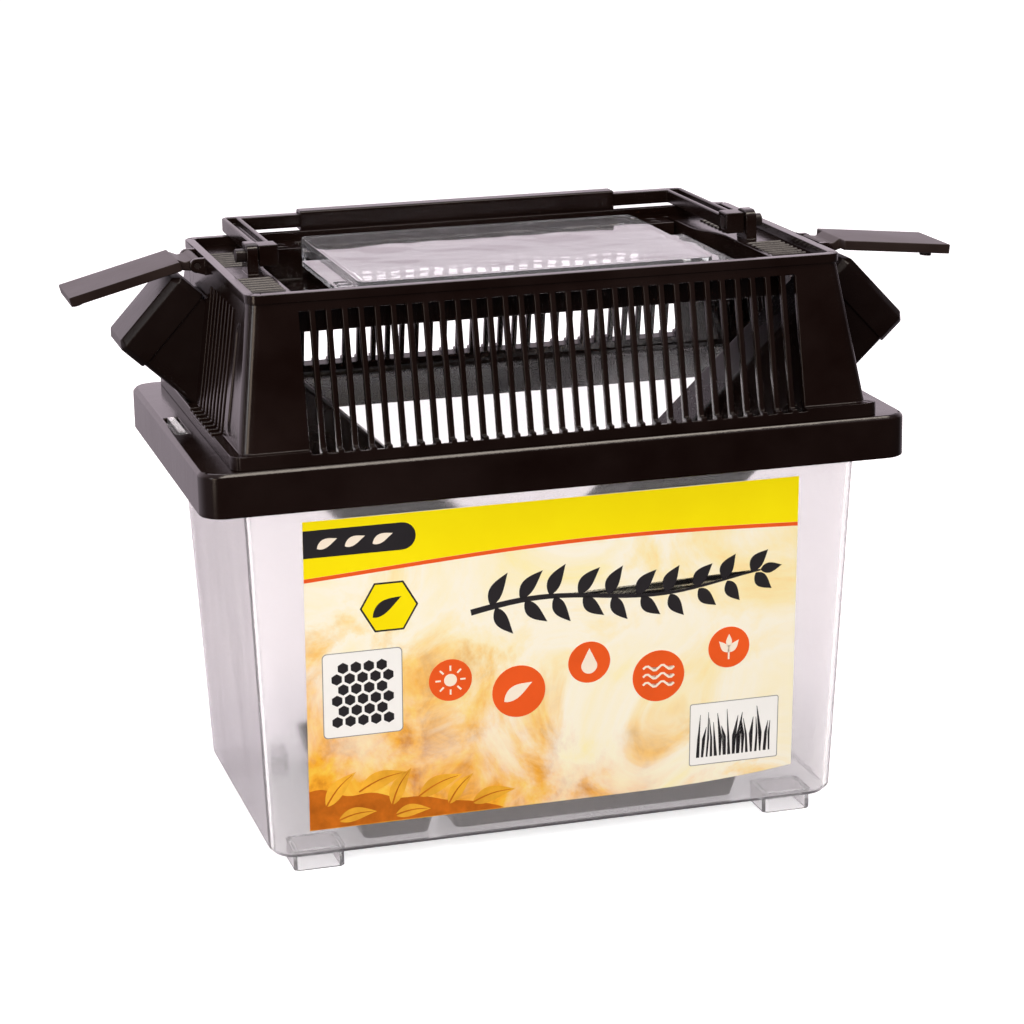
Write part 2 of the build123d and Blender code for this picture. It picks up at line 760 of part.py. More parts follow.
# ================================================================ access door
with BuildPart() as access_door:
    with BuildSketch(Plane.XY.offset(door_top - door_thickness)):
        with Locations((0, (door_front + door_back) / 2)):
            RectangleRounded(2 * door_half_length, door_back - door_front, door_corner)
    extrude(amount=door_thickness)
    # rim wall under the pane
    with BuildSketch(Plane.XY.offset(door_skirt_bottom)):
        with Locations((0, (door_skirt_front + door_back) / 2)):
            RectangleRounded(2 * door_half_length, door_back - door_skirt_front, door_corner)
            RectangleRounded(
                2 * (door_half_length - door_wall),
                door_back - door_skirt_front - 2 * door_wall,
                door_corner - door_wall,
                mode=Mode.SUBTRACT,
            )
    extrude(amount=door_top - door_thickness - door_skirt_bottom)
    # side wings, the left one with two latch holes
    with BuildSketch(Plane.XY.offset(door_wing_top - door_wing_thickness)):
        with Locations(
            ((door_half_length + door_wing_outer) / 2, (door_wing_front + door_wing_back) / 2),
            (-(door_half_length + door_wing_outer) / 2, (door_wing_front + door_wing_back) / 2),
        ):
            Rectangle(door_wing_outer - door_half_length, door_wing_back - door_wing_front)
        with Locations(
            (-(door_half_length + door_wing_outer) / 2, door_wing_front + wing_hole_margin),
            (
                -(door_half_length + door_wing_outer) / 2,
                door_wing_front + wing_hole_margin + wing_hole_pitch,
            ),
        ):
            SlotOverall(wing_hole_length, wing_hole_width, mode=Mode.SUBTRACT)
    extrude(amount=door_wing_thickness)
    # ears for the hinge pegs
    for side in (-1, 1):
        with BuildSketch(Plane.YZ.offset(side * (door_half_length - door_wall / 2))):
            with Locations((door_axis_y, door_axis_z)):
                Circle(door_ear_radius)
            with Locations((door_axis_y, (door_axis_z + door_top - door_thickness) / 2)):
                Rectangle(2 * door_ear_radius, door_top - door_thickness - door_axis_z)
        extrude(amount=door_wall / 2, both=True)
    with BuildSketch(Plane.YZ.offset(-door_half_length)):
        with Locations((door_axis_y, door_axis_z)):
            Circle(door_peg_radius)
    extrude(amount=2 * door_half_length, mode=Mode.SUBTRACT)
access_door.part.label = "access_door"
export_step(access_door.part, "parts/access_door.step")

with BuildPart() as door_peg_left:
    with BuildSketch(Plane.YZ.offset(-door_peg_end)):
        with Locations((door_axis_y, door_axis_z)):
            Circle(door_peg_radius)
    extrude(amount=door_peg_end - door_half_length + door_wall)
door_peg_left.part.label = "door_peg_left"
export_step(door_peg_left.part, "parts/door_peg_left.step")

with BuildPart() as door_peg_right:
    with BuildSketch(Plane.YZ.offset(door_half_length - door_wall)):
        with Locations((door_axis_y, door_axis_z)):
            Circle(door_peg_radius)
    extrude(amount=door_peg_end - door_half_length + door_wall)
door_peg_right.part.label = "door_peg_right"
export_step(door_peg_right.part, "parts/door_peg_right.step")

# ================================================================ feeding tubes and their caps
for side, name in ((-1, "left"), (1, "right")):
    with BuildPart() as feed_tube:
        with BuildSketch(tube_plane(side, tube_low_end)):
            RectangleRounded(tube_width, tube_depth, tube_corner)
            Rectangle(tube_width - 2 * tube_wall, tube_depth - 2 * tube_wall, mode=Mode.SUBTRACT)
        extrude(amount=tube_high_end - tube_low_end)
    feed_tube.part.label = "feed_tube_" + name
    export_step(feed_tube.part, "parts/feed_tube_" + name + ".step")

    with BuildPart() as tube_cap:
        with BuildSketch(tube_plane(side, tube_high_end)):
            Rectangle(cap_width, cap_depth)
        extrude(amount=cap_length)
        outward = Axis((0, 0, 0), tube_plane(side, 0).z_dir)
        chamfer(tube_cap.edges().filter_by(outward), length=cap_corner)
        chamfer(tube_cap.faces().sort_by(outward)[-1].edges(), length=cap_bevel)
        with BuildSketch(tube_plane(side, tube_high_end)):
            Rectangle(tube_width - 2 * tube_wall, tube_depth - 2 * tube_wall)
        extrude(amount=cap_hollow, mode=Mode.SUBTRACT)
    tube_cap.part.label = "tube_cap_" + name
    export_step(tube_cap.part, "parts/tube_cap_" + name + ".step")

# ================================================================ port flaps and their pins
for side, name, droop in ((-1, "left", flap_droop_left), (1, "right", flap_droop_right)):
    hinge = flap_plane(side, droop)
    with BuildPart() as port_flap:
        # plate with a turned-down rim
        with BuildSketch(hinge):
            with Locations(((flap_start + flap_end) / 2, flap_top - flap_depth / 2)):
                Rectangle(flap_end - flap_start, flap_depth)
        extrude(amount=flap_width / 2, both=True)
        with BuildSketch(hinge):
            with Locations(((flap_start + flap_end) / 2, flap_top - flap_plate - flap_depth / 2)):
                Rectangle(flap_end - flap_start - 2 * flap_rim, flap_depth)
        extrude(amount=flap_width / 2 - flap_rim, both=True, mode=Mode.SUBTRACT)
        # strap down to the hinge knuckle
        with BuildSketch(hinge):
            with BuildLine():
                Polyline(
                    (0, -knuckle_radius),
                    (flap_start + flap_rim, flap_top - flap_depth),
                    (flap_start + flap_rim, flap_top),
                    (flap_start, flap_top),
                    (strap_root, strap_root_height),
                    (0, strap_crown),
                    close=True,
                )
            make_face()
            Circle(knuckle_radius)
            Circle(flap_pin_radius + turn_gap, mode=Mode.SUBTRACT)
        extrude(amount=strap_width / 2, both=True)
        # nub under the free end
        with BuildSketch(
            Plane(
                origin=hinge.from_local_coords((flap_end - nub_inset, flap_top - flap_plate, 0)),
                x_dir=(0, 1, 0),
                z_dir=-hinge.y_dir,
            )
        ):
            Circle(nub_radius)
        extrude(amount=flap_depth - flap_plate + nub_height)
    port_flap.part.label = "port_flap_" + name
    export_step(port_flap.part, "parts/port_flap_" + name + ".step")

    with BuildPart() as flap_pin:
        with BuildSketch(hinge):
            Circle(flap_pin_radius)
        extrude(amount=strap_width / 2 + rest_gap + flap_lug_width, both=True)
    flap_pin.part.label = "flap_pin_" + name
    export_step(flap_pin.part, "parts/flap_pin_" + name + ".step")

# ================================================================ dishes
for name, length, width, centre in (
    ("water_dish", dish_length, dish_width, (water_dish_x, water_dish_y)),
    ("food_dish", dish_width, dish_length, (food_dish_x, food_dish_y)),
):
    dish_bottom = tub_floor_top + rest_gap
    dish_top = dish_bottom + dish_height
    dish_floor_top = dish_bottom + dish_floor
    with BuildPart() as dish:
        with Locations(centre):
            add(
                leaning_block(
                    (length - 2 * dish_flare, width - 2 * dish_flare, dish_bottom),
                    (length, width, dish_top),
                    dish_corner,
                )
            )
            add(
                leaning_block(
                    (
                        length - 2 * dish_flare - 2 * dish_wall,
                        width - 2 * dish_flare - 2 * dish_wall,
                        dish_floor_top,
                    ),
                    (length - 2 * dish_wall, width - 2 * dish_wall, dish_top),
                    dish_corner - dish_wall,
                ),
                mode=Mode.SUBTRACT,
            )
    dish.part.label = name
    export_step(dish.part, "parts/" + name + ".step")
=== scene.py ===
import json
import math
import random

import bmesh
import bpy
from mathutils import Matrix, Vector

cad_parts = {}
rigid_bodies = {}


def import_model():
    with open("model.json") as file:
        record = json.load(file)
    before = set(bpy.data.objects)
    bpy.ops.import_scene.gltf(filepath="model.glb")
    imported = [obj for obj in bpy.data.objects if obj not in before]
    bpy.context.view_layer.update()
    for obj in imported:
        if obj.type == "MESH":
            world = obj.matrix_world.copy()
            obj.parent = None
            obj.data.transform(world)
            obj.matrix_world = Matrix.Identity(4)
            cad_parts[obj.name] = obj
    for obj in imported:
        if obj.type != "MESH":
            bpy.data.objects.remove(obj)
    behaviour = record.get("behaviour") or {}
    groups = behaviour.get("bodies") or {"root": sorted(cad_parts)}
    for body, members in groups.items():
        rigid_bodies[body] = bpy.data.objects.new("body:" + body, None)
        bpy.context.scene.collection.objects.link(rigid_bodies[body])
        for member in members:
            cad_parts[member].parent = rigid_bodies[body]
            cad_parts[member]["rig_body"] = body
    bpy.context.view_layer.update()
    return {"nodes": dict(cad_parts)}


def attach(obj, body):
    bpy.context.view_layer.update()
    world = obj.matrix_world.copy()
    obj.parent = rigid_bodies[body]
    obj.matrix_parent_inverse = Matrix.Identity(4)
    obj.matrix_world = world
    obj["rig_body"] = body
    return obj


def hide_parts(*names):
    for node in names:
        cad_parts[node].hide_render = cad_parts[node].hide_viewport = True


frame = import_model()
nodes = frame["nodes"]

MM = 0.001
# the tub's sizes in mm, and the lean of its long walls
FOOT = 6.0
TUB_FLOOR_W = 114.0
DRAFT_Y = math.radians(3.49)


def srgb(r, g, b):
    """Linear colour of an 8-bit display colour."""
    out = []
    for value in (r, g, b):
        value /= 255
        out.append(value / 12.92 if value <= 0.04045 else ((value + 0.055) / 1.055) ** 2.4)
    return tuple(out)


# ------------------------------------------------------------------ helpers
def new_material(name):
    mat = bpy.data.materials.new(name)
    mat.use_nodes = True
    tree = mat.node_tree
    return mat, tree, tree.nodes["Principled BSDF"]


def link(tree, a, out, b, inp):
    tree.links.new(a.outputs[out], b.inputs[inp])


def add_node(tree, kind, **values):
    node = tree.nodes.new(kind)
    for key, value in values.items():
        setattr(node, key, value)
    return node


def coords(tree, scale=(1, 1, 1)):
    tex = add_node(tree, "ShaderNodeTexCoord")
    mapping = add_node(tree, "ShaderNodeMapping")
    mapping.inputs["Scale"].default_value = scale
    link(tree, tex, "Object", mapping, "Vector")
    return mapping


def noise_tex(tree, vector, scale, detail=3.0, rough=0.5, distortion=0.0):
    tex = add_node(tree, "ShaderNodeTexNoise")
    tex.inputs["Scale"].default_value = scale
    tex.inputs["Detail"].default_value = detail
    tex.inputs["Roughness"].default_value = rough
    tex.inputs["Distortion"].default_value = distortion
    link(tree, vector, "Vector", tex, "Vector")
    return tex


def ramp(tree, source, out, stops):
    node = add_node(tree, "ShaderNodeValToRGB")
    while len(node.color_ramp.elements) < len(stops):
        node.color_ramp.elements.new(0.5)
    for element, (pos, col) in zip(node.color_ramp.elements, stops):
        element.position = pos
        element.color = (*col, 1)
    link(tree, source, out, node, "Fac")
    return node


def map_range(tree, socket, a, b, c, d, shape="LINEAR"):
    """Output that takes the values a to b of a socket to c to d."""
    node = add_node(tree, "ShaderNodeMapRange", interpolation_type=shape)
    for name, value in (("From Min", a), ("From Max", b), ("To Min", c), ("To Max", d)):
        node.inputs[name].default_value = value
    tree.links.new(socket, node.inputs["Value"])
    return node.outputs["Result"]


def math_node(tree, operation, a, b):
    """Output of a sum or product of two values, each a number or a socket."""
    node = add_node(tree, "ShaderNodeMath", operation=operation)
    for index, value in enumerate((a, b)):
        if isinstance(value, (int, float)):
            node.inputs[index].default_value = value
        else:
            tree.links.new(value, node.inputs[index])
    return node.outputs[0]


def bump(tree, bsdf, height_socket, strength, distance):
    node = add_node(tree, "ShaderNodeBump")
    node.inputs["Strength"].default_value = strength
    node.inputs["Distance"].default_value = distance
    tree.links.new(height_socket, node.inputs["Height"])
    link(tree, node, "Normal", bsdf, "Normal")


def set_material(obj, mat):
    obj.data.materials.clear()
    obj.data.materials.append(mat)


def object_from(name, bm):
    """A scene object with the mesh of bm, which is used up."""
    mesh = bpy.data.meshes.new(name)
    bm.to_mesh(mesh)
    bm.free()
    obj = bpy.data.objects.new(name, mesh)
    bpy.context.scene.collection.objects.link(obj)
    return obj


# ------------------------------------------------------------------ materials
SCUFF_ROUGHNESS = 0.0875  # added where the black plastic is scuffed


def black_plastic(name, base, rough_lo, rough_hi, specular=0.5):
    """Glossy moulded black plastic: uneven gloss, flow marks, fine scuffs and a brown tinge."""
    mat, tree, bsdf = new_material(name)
    vec = coords(tree)
    cloud = noise_tex(tree, vec, 28, 4, 0.55)
    flow = noise_tex(tree, coords(tree, (1, 1, 0.25)), 160, 3, 0.6, 0.8)
    grain = noise_tex(tree, vec, 1400, 2, 0.5)
    scuff = noise_tex(tree, coords(tree, (1, 14, 9)), 95, 5, 0.7, 0.3)
    scuff_line = ramp(tree, scuff, "Fac", [(0.0, (0, 0, 0)), (0.63, (0, 0, 0)), (0.72, (1, 1, 1))])
    lighter = tuple(min(1, c * 1.9 + 0.004) for c in base)
    tint = ramp(tree, cloud, "Fac", [(0.35, base), (0.8, lighter)])
    link(tree, tint, "Color", bsdf, "Base Color")
    gloss = map_range(tree, cloud.outputs["Fac"], 0.3, 0.7, rough_lo, rough_hi)
    rubbed = math_node(tree, "MULTIPLY", scuff_line.outputs["Color"], SCUFF_ROUGHNESS)
    tree.links.new(math_node(tree, "ADD", gloss, rubbed), bsdf.inputs["Roughness"])
    height = math_node(tree, "ADD", math_node(tree, "MULTIPLY", flow.outputs["Fac"], 0.7),
                       math_node(tree, "MULTIPLY", grain.outputs["Fac"], 0.25))
    bump(tree, bsdf, height, 0.12, 0.0006)
    bsdf.inputs["IOR"].default_value = 1.5
    bsdf.inputs["Specular IOR Level"].default_value = specular
    return mat


def clear_plastic(name, tint, rough_lo, rough_hi, ior, wave, clear):
    """Clear moulded plastic, a little milky: faint haze, long soft waves from the mould, hairline scuffs."""
    mat, tree, bsdf = new_material(name)
    bsdf.inputs["Transmission Weight"].default_value = clear
    bsdf.inputs["IOR"].default_value = ior
    vec = coords(tree)
    haze = noise_tex(tree, vec, 14, 3, 0.6)
    colour = ramp(tree, haze, "Fac", [(0.25, tint), (0.85, tuple(min(1, c * 1.03) for c in tint))])
    link(tree, colour, "Color", bsdf, "Base Color")
    scuff = noise_tex(tree, coords(tree, (9, 1, 16)), 70, 5, 0.7, 0.4)
    hair = ramp(tree, scuff, "Fac", [(0.0, (0, 0, 0)), (0.66, (0, 0, 0)), (0.74, (1, 1, 1))])
    gloss = map_range(tree, haze.outputs["Fac"], 0.3, 0.7, rough_lo, rough_hi)
    rubbed = math_node(tree, "MULTIPLY", hair.outputs["Color"], 0.05)
    tree.links.new(math_node(tree, "ADD", gloss, rubbed), bsdf.inputs["Roughness"])
    waves = noise_tex(tree, coords(tree, (1, 1, 0.3)), wave, 2, 0.4)
    bump(tree, bsdf, waves.outputs["Fac"], 0.18, 0.0015)
    return mat


def solid_print(name, colour, rough, vary, scale):
    """A printed ink area: one ink with a slightly uneven lay-down."""
    mat, tree, bsdf = new_material(name)
    vec = coords(tree)
    cloud = noise_tex(tree, vec, scale, 4, 0.6)
    dark = tuple(c * (1 - vary) for c in colour)
    light = tuple(min(1, c * (1 + vary)) for c in colour)
    tint = ramp(tree, cloud, "Fac", [(0.3, dark), (0.7, light)])
    link(tree, tint, "Color", bsdf, "Base Color")
    gloss = map_range(tree, cloud.outputs["Fac"], 0.3, 0.7, rough - 0.05, rough + 0.06)
    tree.links.new(gloss, bsdf.inputs["Roughness"])
    grain = noise_tex(tree, vec, 2600, 2, 0.5)
    bump(tree, bsdf, grain.outputs["Fac"], 0.05, 0.0002)
    return mat


def label_paper():
    """Cream paper with watercolour washes and amber towards the lower left."""
    mat, tree, bsdf = new_material("label_print")
    tex = add_node(tree, "ShaderNodeTexCoord")
    split = add_node(tree, "ShaderNodeSeparateXYZ")
    link(tree, tex, "Object", split, "Vector")
    vec = coords(tree)
    wash = noise_tex(tree, vec, 17, 6, 0.62, 1.4)
    fine = noise_tex(tree, vec, 75, 5, 0.65, 0.6)
    cream = ramp(tree, wash, "Fac", [(0.27, (1.0, 0.66, 0.20)), (0.40, (1.0, 0.84, 0.46)),
                                     (0.52, (1.0, 0.93, 0.76)), (0.63, (1.0, 0.90, 0.62)),
                                     (0.78, (1.0, 0.86, 0.34))])
    # amber wash: strongest at the lower left corner
    run = math_node(tree, "MULTIPLY", math_node(tree, "ADD", split.outputs["X"], 0.086), 5.2)
    rise = math_node(tree, "MULTIPLY", math_node(tree, "SUBTRACT", split.outputs["Z"], 0.014), 13.0)
    wobble = math_node(tree, "MULTIPLY", math_node(tree, "SUBTRACT", wash.outputs["Fac"], 0.5), 2.4)
    reach = math_node(tree, "ADD", math_node(tree, "ADD", run, rise), wobble)
    amount = map_range(tree, reach, 0.25, 0.95, 1.0, 0.0)
    amber = ramp(tree, fine, "Fac", [(0.3, (0.62, 0.19, 0.015)), (0.5, (0.95, 0.42, 0.03)),
                                     (0.7, (1.0, 0.64, 0.08))])
    mix = add_node(tree, "ShaderNodeMix", data_type="RGBA")
    tree.links.new(amount, mix.inputs["Factor"])
    tree.links.new(cream.outputs["Color"], mix.inputs["A"])
    tree.links.new(amber.outputs["Color"], mix.inputs["B"])
    tree.links.new(mix.outputs["Result"], bsdf.inputs["Base Color"])
    gloss = map_range(tree, fine.outputs["Fac"], 0.3, 0.7, 0.34, 0.46)
    tree.links.new(gloss, bsdf.inputs["Roughness"])
    grain = noise_tex(tree, vec, 2200, 2, 0.5)
    bump(tree, bsdf, grain.outputs["Fac"], 0.06, 0.0002)
    return mat


M_LID = black_plastic("lid_black", (0.0045, 0.0016, 0.0010), 0.12, 0.20)
M_INSIDE = black_plastic("lid_black_inside", (0.0045, 0.0020, 0.0014), 0.46, 0.58, specular=0.22)
M_HANDLE = black_plastic("handle_black", (0.0040, 0.0015, 0.0010), 0.16, 0.26, specular=0.28)
M_TUBE = black_plastic("tube_black", (0.0035, 0.0013, 0.0009), 0.22, 0.32, specular=0.30)
M_FLAP = black_plastic("flap_black", (0.013, 0.0075, 0.0062), 0.34, 0.44)
M_DISH = black_plastic("dish_black", (0.022, 0.017, 0.016), 0.36, 0.50)
M_PIN = black_plastic("pin_black", (0.010, 0.0065, 0.0058), 0.26, 0.38)
M_TUB = clear_plastic("tub_clear", (0.825, 0.805, 0.818), 0.09, 0.15, 1.46, 22, 0.925)
M_DOOR = clear_plastic("door_clear", (0.955, 0.94, 0.975), 0.02, 0.05, 1.49, 40, 0.95)
M_PAPER = label_paper()

plain = {
    "lid_skirt": M_LID, "hood_front": M_LID, "hood_back": M_LID, "hood_left": M_LID, "hood_right": M_LID,
    "lid_deck": M_LID, "carry_handle": M_HANDLE, "handle_grip": M_HANDLE,
    "handle_pin_left": M_PIN, "handle_pin_right": M_PIN, "flap_pin_left": M_PIN, "flap_pin_right": M_PIN,
    "feed_tube_left": M_TUBE, "feed_tube_right": M_TUBE, "tube_cap_left": M_TUBE, "tube_cap_right": M_TUBE,
    "port_flap_left": M_FLAP, "port_flap_right": M_FLAP, "food_dish": M_DISH, "water_dish": M_DISH,
    "tub": M_TUB, "access_door": M_DOOR, "door_peg_left": M_DOOR, "door_peg_right": M_DOOR,
    "label_sheet": M_PAPER,
}

for name, mat in plain.items():
    set_material(nodes[name], mat)


# ------------------------------------------------------------------ dressed copies with rounded edges
MERGE = 2e-6  # metres between points that count as one
FLAT = math.radians(0.6)  # neighbouring faces under this angle are one flat
SHARP = math.radians(28)  # edges over this angle are rounded
ROUND_STEPS = 2

# the hidden side of each moulded wall is duller: direction that it faces, and the least cosine to it
INSIDE = {"hood_front": ((0, 1, 0), 0.3), "hood_back": ((0, -1, 0), -0.3), "hood_left": ((1, 0, 0), 0.3),
          "hood_right": ((-1, 0, 0), 0.3), "lid_deck": ((0, 0, -1), 0.3)}


def dress(name, width):
    """A copy of a frame node with merged flats and soft moulded edges, which stands for the node."""
    source = nodes[name]
    bm = bmesh.new()
    bm.from_mesh(source.data)
    bmesh.ops.remove_doubles(bm, verts=bm.verts, dist=MERGE)
    bmesh.ops.dissolve_limit(bm, angle_limit=FLAT, verts=bm.verts, edges=bm.edges)
    bmesh.ops.triangulate(bm, faces=[face for face in bm.faces if len(face.verts) > 4])
    toward, least = INSIDE.get(name, ((0, 0, 0), 1))
    for face in bm.faces:
        face.smooth = True
        face.material_index = int(face.normal.dot(Vector(toward)) > least)
    obj = object_from("soft_" + name, bm)
    mod = obj.modifiers.new("edge", "BEVEL")
    mod.width = width * MM
    mod.segments = ROUND_STEPS
    mod.limit_method = "ANGLE"
    mod.angle_limit = SHARP
    mod.use_clamp_overlap = False
    mod.harden_normals = True
    mod.miter_outer = "MITER_ARC"
    flats = obj.modifiers.new("flats", "WEIGHTED_NORMAL")
    flats.mode = "FACE_AREA"
    flats.weight = 100
    flats.keep_sharp = True
    set_material(obj, plain[name])
    if name in INSIDE:
        obj.data.materials.append(M_INSIDE)
    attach(obj, source["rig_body"])
    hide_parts(name)


# width of the soft edge in mm; the door's is small, so that it clears the deck when it is open
SOFT_EDGE = {
    "lid_skirt": 0.35, "lid_deck": 0.3, "hood_front": 0.3, "hood_back": 0.3, "hood_left": 0.3, "hood_right": 0.3,
    "carry_handle": 0.45, "handle_grip": 0.35, "feed_tube_left": 0.35, "feed_tube_right": 0.35,
    "tube_cap_left": 0.4, "tube_cap_right": 0.4, "port_flap_left": 0.35, "port_flap_right": 0.35,
    "access_door": 0.15, "food_dish": 0.3, "water_dish": 0.3, "tub": 0.3,
}
for name, width in SOFT_EDGE.items():
    dress(name, width)


# ------------------------------------------------------------------ label print: generic motifs
LEAN_C, LEAN_S = math.cos(DRAFT_Y), math.sin(DRAFT_Y)
SHEET = 0.25  # thickness of the sheet in mm


def on_label(x, v, off):
    """Point at x mm from the middle and v mm up the front wall, off mm out from the wall."""
    return Vector((x, -TUB_FLOOR_W / 2 - v * LEAN_S - off * LEAN_C, FOOT + v * LEAN_C - off * LEAN_S)) * MM


def printed(name, shapes, mat, low=0.0, high=0.05):
    """Thin ink areas on the label; each shape is a list of (x, v) corners going round once."""
    bm = bmesh.new()
    for shape in shapes:
        area_sum = sum(a[0] * b[1] - b[0] * a[1] for a, b in zip(shape, shape[1:] + shape[:1]))
        loop = shape if area_sum > 0 else shape[::-1]
        top_ring = [bm.verts.new(on_label(x, v, SHEET + high)) for x, v in loop]
        low_ring = [bm.verts.new(on_label(x, v, SHEET + low)) for x, v in loop]
        bm.faces.new(top_ring)
        bm.faces.new(low_ring[::-1])
        count = len(loop)
        for i in range(count):
            j = (i + 1) % count
            bm.faces.new((top_ring[j], top_ring[i], low_ring[i], low_ring[j]))
    bmesh.ops.triangulate(bm, faces=bm.faces)
    bmesh.ops.recalc_face_normals(bm, faces=bm.faces)
    obj = object_from(name, bm)
    set_material(obj, mat)
    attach(obj, "tub")


def disc(cx, cv, r, count=48, start=0):
    """A circle, or a regular shape of few corners, the first of them at the angle start."""
    turns = [math.radians(start + 360 * i / count) for i in range(count)]
    return [(cx + r * math.cos(turn), cv + r * math.sin(turn)) for turn in turns]


def rounded(x0, v0, x1, v1, r, steps=7):
    """A rectangle with round corners."""
    out = []
    for cx, cv, start in ((x1 - r, v1 - r, 0), (x0 + r, v1 - r, 90), (x0 + r, v0 + r, 180), (x1 - r, v0 + r, 270)):
        for i in range(steps + 1):
            turn = math.radians(start + 90 * i / steps)
            out.append((cx + r * math.cos(turn), cv + r * math.sin(turn)))
    return out


def leaf(x, v, length, width, angle, bend=0.0, steps=14):
    """A pointed leaf from its stalk end at (x, v), in the direction of angle."""
    upper, lower = [], []
    for i in range(steps + 1):
        t = i / steps
        half = width / 2 * math.sin(math.pi * t ** 0.8) * (1 - 0.25 * t)
        mid = bend * length * math.sin(math.pi * t)
        upper.append((t * length, mid + half))
        lower.append((t * length, mid - half))
    ring = lower + upper[-2:0:-1]
    c, s = math.cos(math.radians(angle)), math.sin(math.radians(angle))
    return [(x + a * c - b * s, v + a * s + b * c) for a, b in ring]


def stroke(points, width):
    """A band of even or tapering width along a line of points; width is one value or one per point."""
    widths = width if isinstance(width, (list, tuple)) else [width] * len(points)
    left, right = [], []
    for i, (x, v) in enumerate(points):
        x0, v0 = points[max(0, i - 1)]
        x1, v1 = points[min(len(points) - 1, i + 1)]
        length = math.hypot(x1 - x0, v1 - v0) or 1
        nx, nv = -(v1 - v0) / length, (x1 - x0) / length
        left.append((x + nx * widths[i] / 2, v + nv * widths[i] / 2))
        right.append((x - nx * widths[i] / 2, v - nv * widths[i] / 2))
    return left + right[::-1]


def wave(x):
    """Lower edge of the yellow band."""
    return 98.6 + 2.6 * math.sin((x + 60) / 46) + 0.01 * x


# the sheet's edges in mm: left, right, bottom and top
EDGE_L, EDGE_R, EDGE_B, EDGE_T = -85.5, 80.7, 9.9, 115.35
INK_YELLOW = solid_print("ink_yellow", srgb(255, 229, 10), 0.38, 0.04, 30)
INK_ORANGE = solid_print("ink_orange", srgb(238, 92, 36), 0.40, 0.06, 60)
INK_DARK = solid_print("ink_dark", srgb(43, 40, 42), 0.40, 0.10, 60)
INK_WHITE = solid_print("ink_white", srgb(250, 247, 242), 0.40, 0.02, 60)
INK_CREAM = solid_print("ink_cream", srgb(253, 236, 214), 0.40, 0.03, 60)
INK_AMBER = solid_print("ink_amber", srgb(246, 172, 52), 0.40, 0.22, 110)
INK_BROWN = solid_print("ink_brown", srgb(196, 104, 26), 0.42, 0.30, 120)
INK_GREY = solid_print("ink_grey", srgb(150, 146, 144), 0.42, 0.06, 60)

xs = [EDGE_L + (EDGE_R - EDGE_L) * i / 60 for i in range(61)]
printed("label_band", [[(EDGE_L, EDGE_T), *((x, wave(x)) for x in xs), (EDGE_R, EDGE_T)]], INK_YELLOW, 0, 0.03)
printed("label_band_edge", [[*((x, wave(x) - 0.05) for x in xs), *((x, wave(x) - 1.35) for x in xs[::-1])]],
        INK_ORANGE, 0, 0.035)

# dark twig with leaves across the upper middle
twig = [(-31 + 3.3 * i, 79.5 + 2.2 * math.sin(i / 4.2) + 0.10 * i) for i in range(31)]
dark = [stroke(twig, [2.1 - 0.05 * i for i in range(31)])]
for i in range(2, 30, 3):
    x, v = twig[i]
    size = 12.5 - 0.12 * i
    dark.append(leaf(x, v + 0.4, size, 5.2, 62 - 12 * (i % 2), 0.06))
    dark.append(leaf(x + 1.6, v - 0.4, size * 0.92, 5.0, -58 + 12 * (i % 2), -0.06))
dark.append(leaf(*twig[-1], 7.5, 4.0, 8, 0.0))
printed("label_twig", dark, INK_DARK, 0, 0.05)

# dark half pill at the upper left with three pale leaves
PILL_X, PILL_V, PILL_R = -53.5, 107.8, 4.6
pill = [(EDGE_L, PILL_V - PILL_R), (PILL_X, PILL_V - PILL_R)]
pill += [(PILL_X + PILL_R * math.sin(math.radians(a)), PILL_V - PILL_R * math.cos(math.radians(a)))
         for a in range(15, 180, 15)]
pill += [(PILL_X, PILL_V + PILL_R), (EDGE_L, PILL_V + PILL_R)]
printed("label_pill", [pill], INK_DARK, 0.03, 0.06)
printed("label_pill_leaves", [leaf(-81 + 9 * i, 106.2, 7.2, 3.3, 24, 0.05) for i in range(3)], INK_CREAM, 0.06, 0.08)

# round orange spots in a wavy row with pale marks
spots = [(-38, 57.0, 7.2), (-15, 50.5, 9.0), (9, 58.0, 7.2), (33, 50.5, 9.0), (57.5, 58.0, 7.2)]
printed("label_spots", [disc(*spot) for spot in spots], INK_ORANGE, 0, 0.05)
x, v, r = spots[0]
marks = [disc(x, v, r * 0.30, 24)]
marks += [stroke([(x + r * 0.45 * math.cos(a), v + r * 0.45 * math.sin(a)),
                  (x + r * 0.70 * math.cos(a), v + r * 0.70 * math.sin(a))], 0.6)
          for a in [math.radians(45 * i) for i in range(8)]]
x, v, r = spots[1]
marks += [leaf(x - r * 0.55, v - r * 0.35, r * 1.25, r * 0.55, 32, 0.05)]
x, v, r = spots[2]
drop = [(x, v + r * 0.68)]
drop += [(x + r * 0.38 * math.sin(math.radians(a)), v - r * 0.18 + r * 0.38 * math.cos(math.radians(a)))
         for a in range(60, 301, 15)]
marks += [drop]
x, v, r = spots[3]
for k in (-1, 0, 1):
    marks += [stroke([(x - r * 0.6 + r * 1.2 * i / 12, v + k * r * 0.32 + r * 0.10 * math.sin(i * math.pi / 3))
                      for i in range(13)], 0.75)]
x, v, r = spots[4]
marks += [stroke([(x, v - r * 0.6), (x, v + r * 0.1)], 0.6), leaf(x, v - r * 0.25, r * 0.75, r * 0.38, 50),
          leaf(x, v - r * 0.25, r * 0.75, r * 0.38, 130), leaf(x, v, r * 0.65, r * 0.32, 90)]
printed("label_spot_marks", marks, INK_CREAM, 0.05, 0.07)

